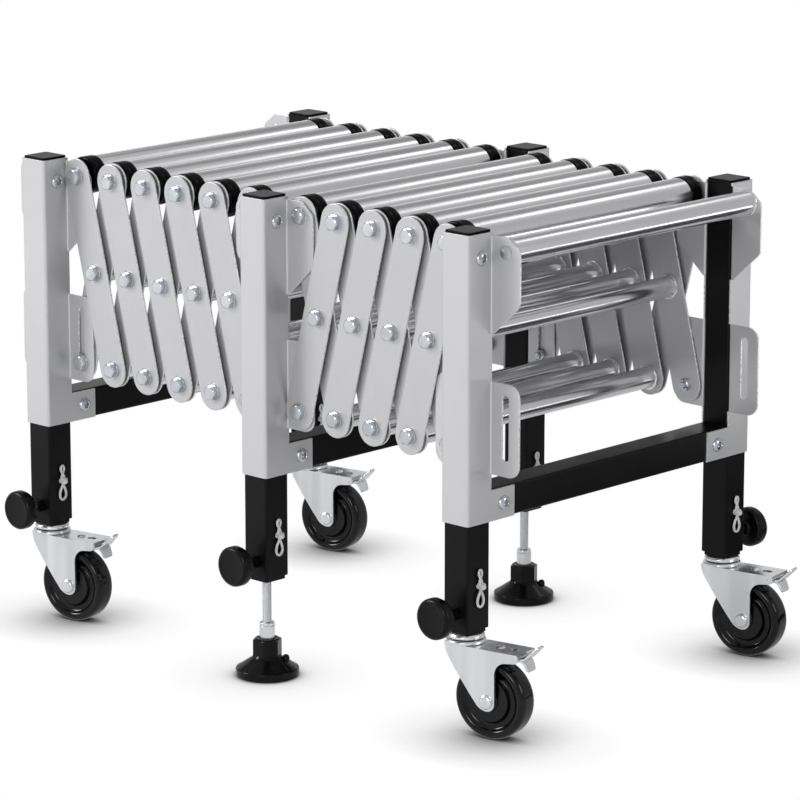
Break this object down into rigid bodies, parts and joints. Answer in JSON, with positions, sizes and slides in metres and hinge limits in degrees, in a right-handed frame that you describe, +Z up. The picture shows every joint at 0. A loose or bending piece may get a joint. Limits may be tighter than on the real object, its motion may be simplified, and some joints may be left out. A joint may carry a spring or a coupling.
{
  "type": "scissor roller conveyor",
  "caption": "Extendable roller conveyor: portal frames on braked casters and levelling feet, joined by scissor arm lattices that carry freely turning rollers.",
  "frame": {"origin": "on the floor, below the middle of the box around the collapsed conveyor", "axes": "+X along the conveyor towards the end bar, +Y across it to the far side, +Z up"},
  "size_m": [0.943, 0.623, 0.631],
  "materials": {
    "silver_paint": "satin silver paint",
    "black_paint": "fine black powder coat",
    "zinc_plate": "bright zinc plating",
    "roller_steel": "zinc plated drawn tube",
    "black_plastic": "matt moulded",
    "wheel_rubber": "hard black rubber"
  },
  "bodies": {
    "left_frame": {"left_posts": "black_paint", "left_channels": "silver_paint", "left_crossbeam": "black_paint", "left_fasteners": "zinc_plate"},
    "middle_frame": {"middle_posts": "black_paint", "middle_channels": "silver_paint", "middle_crossbeam": "black_paint", "middle_fasteners": "zinc_plate"},
    "right_frame": {"right_posts": "black_paint", "right_channels": "silver_paint", "right_crossbeam": "black_paint", "right_fasteners": "zinc_plate"},
    "left_inner_5": {"left_inner_arms_5": "silver_paint"},
    "left_outer_5": {"left_outer_arms_5": "silver_paint"},
    "left_inner_4": {"left_inner_arms_4": "silver_paint"},
    "left_outer_4": {"left_outer_arms_4": "silver_paint"},
    "left_inner_3": {"left_inner_arms_3": "silver_paint"},
    "left_outer_3": {"left_outer_arms_3": "silver_paint"},
    "left_inner_2": {"left_inner_arms_2": "silver_paint"},
    "left_outer_2": {"left_outer_arms_2": "silver_paint"},
    "left_inner_1": {"left_inner_arms_1": "silver_paint"},
    "left_outer_1": {"left_outer_arms_1": "silver_paint"},
    "right_inner_1": {"right_inner_arms_1": "silver_paint"},
    "right_outer_1": {"right_outer_arms_1": "silver_paint"},
    "right_inner_2": {"right_inner_arms_2": "silver_paint"},
    "right_outer_2": {"right_outer_arms_2": "silver_paint"},
    "right_inner_3": {"right_inner_arms_3": "silver_paint"},
    "right_outer_3": {"right_outer_arms_3": "silver_paint"},
    "right_inner_4": {"right_inner_arms_4": "silver_paint"},
    "right_outer_4": {"right_outer_arms_4": "silver_paint"},
    "roller_1": {"roller_1": "roller_steel"},
    "roller_2": {"roller_2": "roller_steel"},
    "roller_3": {"roller_3": "roller_steel"},
    "roller_4": {"roller_4": "roller_steel"},
    "roller_5": {"roller_5": "roller_steel"},
    "roller_6": {"roller_6": "roller_steel"},
    "roller_7": {"roller_7": "roller_steel"},
    "roller_8": {"roller_8": "roller_steel"},
    "roller_9": {"roller_9": "roller_steel"},
    "roller_10": {"roller_10": "roller_steel"},
    "roller_11": {"roller_11": "roller_steel"},
    "left_legs": {"left_legs": "zinc_plate"},
    "left_knobs": {"left_knobs": "black_plastic"},
    "middle_legs": {"middle_legs": "zinc_plate"},
    "middle_knobs": {"middle_knobs": "black_plastic"},
    "right_legs": {"right_legs": "zinc_plate"},
    "right_knobs": {"right_knobs": "black_plastic"},
    "left_near_caster": {"left_near_caster_fork": "zinc_plate"},
    "left_near_wheel": {"left_near_wheel": "wheel_rubber"},
    "left_near_brake": {"left_near_brake_pedal": "zinc_plate"},
    "left_far_caster": {"left_far_caster_fork": "zinc_plate"},
    "left_far_wheel": {"left_far_wheel": "wheel_rubber"},
    "left_far_brake": {"left_far_brake_pedal": "zinc_plate"},
    "right_near_caster": {"right_near_caster_fork": "zinc_plate"},
    "right_near_wheel": {"right_near_wheel": "wheel_rubber"},
    "right_near_brake": {"right_near_brake_pedal": "zinc_plate"},
    "right_far_caster": {"right_far_caster_fork": "zinc_plate"},
    "right_far_wheel": {"right_far_wheel": "wheel_rubber"},
    "right_far_brake": {"right_far_brake_pedal": "zinc_plate"},
    "levelling_feet": {"levelling_feet": "black_plastic"}
  },
  "joints": [
    {"name": "extend_left", "type": "hinge", "parent": "middle_frame", "child": "left_inner_5", "pos_m": [-0.03598, 0, 0.606], "axis": [0, 1, 0], "range_deg": [0, 31]},
    {"name": "left_mid_pivot_5", "type": "hinge", "parent": "left_inner_5", "child": "left_outer_5", "pos_m": [-0.06798, 0, 0.48], "axis": [0, 1, 0], "range_deg": [-62, 0]},
    {"name": "left_top_pivot_5", "type": "hinge", "parent": "left_outer_5", "child": "left_inner_4", "pos_m": [-0.09998, 0, 0.606], "axis": [0, 1, 0], "range_deg": [0, 62]},
    {"name": "left_mid_pivot_4", "type": "hinge", "parent": "left_inner_4", "child": "left_outer_4", "pos_m": [-0.13198, 0, 0.48], "axis": [0, 1, 0], "range_deg": [-62, 0]},
    {"name": "left_top_pivot_4", "type": "hinge", "parent": "left_outer_4", "child": "left_inner_3", "pos_m": [-0.16398, 0, 0.606], "axis": [0, 1, 0], "range_deg": [0, 62]},
    {"name": "left_mid_pivot_3", "type": "hinge", "parent": "left_inner_3", "child": "left_outer_3", "pos_m": [-0.19598, 0, 0.48], "axis": [0, 1, 0], "range_deg": [-62, 0]},
    {"name": "left_top_pivot_3", "type": "hinge", "parent": "left_outer_3", "child": "left_inner_2", "pos_m": [-0.22798, 0, 0.606], "axis": [0, 1, 0], "range_deg": [0, 62]},
    {"name": "left_mid_pivot_2", "type": "hinge", "parent": "left_inner_2", "child": "left_outer_2", "pos_m": [-0.25998, 0, 0.48], "axis": [0, 1, 0], "range_deg": [-62, 0]},
    {"name": "left_top_pivot_2", "type": "hinge", "parent": "left_outer_2", "child": "left_inner_1", "pos_m": [-0.29198, 0, 0.606], "axis": [0, 1, 0], "range_deg": [0, 62]},
    {"name": "left_mid_pivot_1", "type": "hinge", "parent": "left_inner_1", "child": "left_outer_1", "pos_m": [-0.32398, 0, 0.48], "axis": [0, 1, 0], "range_deg": [-62, 0]},
    {"name": "left_top_pivot_1", "type": "hinge", "parent": "left_outer_1", "child": "left_frame", "pos_m": [-0.35598, 0, 0.606], "axis": [0, 1, 0], "range_deg": [0, 31]},
    {"name": "extend_right", "type": "hinge", "parent": "middle_frame", "child": "right_inner_1", "pos_m": [0.05702, 0, 0.606], "axis": [0, -1, 0], "range_deg": [0, 31]},
    {"name": "right_mid_pivot_1", "type": "hinge", "parent": "right_inner_1", "child": "right_outer_1", "pos_m": [0.08902, 0, 0.48], "axis": [0, -1, 0], "range_deg": [-62, 0]},
    {"name": "right_top_pivot_2", "type": "hinge", "parent": "right_outer_1", "child": "right_inner_2", "pos_m": [0.12102, 0, 0.606], "axis": [0, -1, 0], "range_deg": [0, 62]},
    {"name": "right_mid_pivot_2", "type": "hinge", "parent": "right_inner_2", "child": "right_outer_2", "pos_m": [0.15302, 0, 0.48], "axis": [0, -1, 0], "range_deg": [-62, 0]},
    {"name": "right_top_pivot_3", "type": "hinge", "parent": "right_outer_2", "child": "right_inner_3", "pos_m": [0.18502, 0, 0.606], "axis": [0, -1, 0], "range_deg": [0, 62]},
    {"name": "right_mid_pivot_3", "type": "hinge", "parent": "right_inner_3", "child": "right_outer_3", "pos_m": [0.21702, 0, 0.48], "axis": [0, -1, 0], "range_deg": [-62, 0]},
    {"name": "right_top_pivot_4", "type": "hinge", "parent": "right_outer_3", "child": "right_inner_4", "pos_m": [0.24902, 0, 0.606], "axis": [0, -1, 0], "range_deg": [0, 62]},
    {"name": "right_mid_pivot_4", "type": "hinge", "parent": "right_inner_4", "child": "right_outer_4", "pos_m": [0.28102, 0, 0.48], "axis": [0, -1, 0], "range_deg": [-62, 0]},
    {"name": "right_top_pivot_5", "type": "hinge", "parent": "right_outer_4", "child": "right_frame", "pos_m": [0.31302, 0, 0.606], "axis": [0, -1, 0], "range_deg": [0, 31]},
    {"name": "roller_1_spin", "type": "hinge", "parent": "left_frame", "child": "roller_1", "pos_m": [-0.35598, 0, 0.606], "axis": [0, 1, 0], "continuous": true},
    {"name": "roller_2_spin", "type": "hinge", "parent": "left_outer_2", "child": "roller_2", "pos_m": [-0.29198, 0, 0.606], "axis": [0, 1, 0], "continuous": true},
    {"name": "roller_3_spin", "type": "hinge", "parent": "left_outer_3", "child": "roller_3", "pos_m": [-0.22798, 0, 0.606], "axis": [0, 1, 0], "continuous": true},
    {"name": "roller_4_spin", "type": "hinge", "parent": "left_outer_4", "child": "roller_4", "pos_m": [-0.16398, 0, 0.606], "axis": [0, 1, 0], "continuous": true},
    {"name": "roller_5_spin", "type": "hinge", "parent": "left_outer_5", "child": "roller_5", "pos_m": [-0.09998, 0, 0.606], "axis": [0, 1, 0], "continuous": true},
    {"name": "roller_6_spin", "type": "hinge", "parent": "middle_frame", "child": "roller_6", "pos_m": [-0.03598, 0, 0.606], "axis": [0, 1, 0], "continuous": true},
    {"name": "roller_7_spin", "type": "hinge", "parent": "middle_frame", "child": "roller_7", "pos_m": [0.05702, 0, 0.606], "axis": [0, 1, 0], "continuous": true},
    {"name": "roller_8_spin", "type": "hinge", "parent": "right_outer_1", "child": "roller_8", "pos_m": [0.12102, 0, 0.606], "axis": [0, 1, 0], "continuous": true},
    {"name": "roller_9_spin", "type": "hinge", "parent": "right_outer_2", "child": "roller_9", "pos_m": [0.18502, 0, 0.606], "axis": [0, 1, 0], "continuous": true},
    {"name": "roller_10_spin", "type": "hinge", "parent": "right_outer_3", "child": "roller_10", "pos_m": [0.24902, 0, 0.606], "axis": [0, 1, 0], "continuous": true},
    {"name": "roller_11_spin", "type": "hinge", "parent": "right_frame", "child": "roller_11", "pos_m": [0.31302, 0, 0.606], "axis": [0, 1, 0], "continuous": true},
    {"name": "left_leg_slide", "type": "slide", "parent": "left_frame", "child": "left_legs", "axis": [0, 0, -1], "range_m": [0, 0.3]},
    {"name": "left_knob_turn", "type": "hinge", "parent": "left_frame", "child": "left_knobs", "pos_m": [-0.40248, 0, 0.156], "axis": [0, 1, 0], "continuous": true},
    {"name": "middle_leg_slide", "type": "slide", "parent": "middle_frame", "child": "middle_legs", "axis": [0, 0, -1], "range_m": [0, 0.3]},
    {"name": "middle_knob_turn", "type": "hinge", "parent": "middle_frame", "child": "middle_knobs", "pos_m": [0.01052, 0, 0.156], "axis": [0, 1, 0], "continuous": true},
    {"name": "right_leg_slide", "type": "slide", "parent": "right_frame", "child": "right_legs", "axis": [0, 0, -1], "range_m": [0, 0.3]},
    {"name": "right_knob_turn", "type": "hinge", "parent": "right_frame", "child": "right_knobs", "pos_m": [0.35952, 0, 0.156], "axis": [0, 1, 0], "continuous": true},
    {"name": "left_near_swivel", "type": "hinge", "parent": "left_legs", "child": "left_near_caster", "pos_m": [-0.40248, -0.2475, 0.118], "axis": [0, 0, 1], "continuous": true},
    {"name": "left_near_wheel_roll", "type": "hinge", "parent": "left_near_caster", "child": "left_near_wheel", "pos_m": [-0.36111, -0.24021, 0.05], "axis": [-0.1736, 0.9848, 0], "continuous": true},
    {"name": "left_near_brake_press", "type": "hinge", "parent": "left_near_caster", "child": "left_near_brake", "pos_m": [-0.32468, -0.23378, 0.108], "axis": [-0.1736, 0.9848, 0], "range_deg": [0, 18]},
    {"name": "left_far_swivel", "type": "hinge", "parent": "left_legs", "child": "left_far_caster", "pos_m": [-0.40248, 0.2475, 0.118], "axis": [0, 0, 1], "continuous": true},
    {"name": "left_far_wheel_roll", "type": "hinge", "parent": "left_far_caster", "child": "left_far_wheel", "pos_m": [-0.36111, 0.25479, 0.05], "axis": [-0.1736, 0.9848, 0], "continuous": true},
    {"name": "left_far_brake_press", "type": "hinge", "parent": "left_far_caster", "child": "left_far_brake", "pos_m": [-0.32468, 0.26122, 0.108], "axis": [-0.1736, 0.9848, 0], "range_deg": [0, 18]},
    {"name": "right_near_swivel", "type": "hinge", "parent": "right_legs", "child": "right_near_caster", "pos_m": [0.35952, -0.2475, 0.118], "axis": [0, 0, 1], "continuous": true},
    {"name": "right_near_wheel_roll", "type": "hinge", "parent": "right_near_caster", "child": "right_near_wheel", "pos_m": [0.40089, -0.24021, 0.05], "axis": [-0.1736, 0.9848, 0], "continuous": true},
    {"name": "right_near_brake_press", "type": "hinge", "parent": "right_near_caster", "child": "right_near_brake", "pos_m": [0.43732, -0.23378, 0.108], "axis": [-0.1736, 0.9848, 0], "range_deg": [0, 18]},
    {"name": "right_far_swivel", "type": "hinge", "parent": "right_legs", "child": "right_far_caster", "pos_m": [0.35952, 0.2475, 0.118], "axis": [0, 0, 1], "continuous": true},
    {"name": "right_far_wheel_roll", "type": "hinge", "parent": "right_far_caster", "child": "right_far_wheel", "pos_m": [0.40089, 0.25479, 0.05], "axis": [-0.1736, 0.9848, 0], "continuous": true},
    {"name": "right_far_brake_press", "type": "hinge", "parent": "right_far_caster", "child": "right_far_brake", "pos_m": [0.43732, 0.26122, 0.108], "axis": [-0.1736, 0.9848, 0], "range_deg": [0, 18]},
    {"name": "levelling_screw", "type": "slide", "parent": "middle_legs", "child": "levelling_feet", "axis": [0, 0, -1], "range_m": [-0.018, 0.02]}
  ],
  "couplings": [
    {"joint": "left_mid_pivot_5", "follows": "extend_left", "ratio": -2},
    {"joint": "left_top_pivot_5", "follows": "extend_left", "ratio": 2},
    {"joint": "left_mid_pivot_4", "follows": "extend_left", "ratio": -2},
    {"joint": "left_top_pivot_4", "follows": "extend_left", "ratio": 2},
    {"joint": "left_mid_pivot_3", "follows": "extend_left", "ratio": -2},
    {"joint": "left_top_pivot_3", "follows": "extend_left", "ratio": 2},
    {"joint": "left_mid_pivot_2", "follows": "extend_left", "ratio": -2},
    {"joint": "left_top_pivot_2", "follows": "extend_left", "ratio": 2},
    {"joint": "left_mid_pivot_1", "follows": "extend_left", "ratio": -2},
    {"joint": "left_top_pivot_1", "follows": "extend_left", "ratio": 1},
    {"joint": "right_mid_pivot_1", "follows": "extend_right", "ratio": -2},
    {"joint": "right_top_pivot_2", "follows": "extend_right", "ratio": 2},
    {"joint": "right_mid_pivot_2", "follows": "extend_right", "ratio": -2},
    {"joint": "right_top_pivot_3", "follows": "extend_right", "ratio": 2},
    {"joint": "right_mid_pivot_3", "follows": "extend_right", "ratio": -2},
    {"joint": "right_top_pivot_4", "follows": "extend_right", "ratio": 2},
    {"joint": "right_mid_pivot_4", "follows": "extend_right", "ratio": -2},
    {"joint": "right_top_pivot_5", "follows": "extend_right", "ratio": 1}
  ]
}
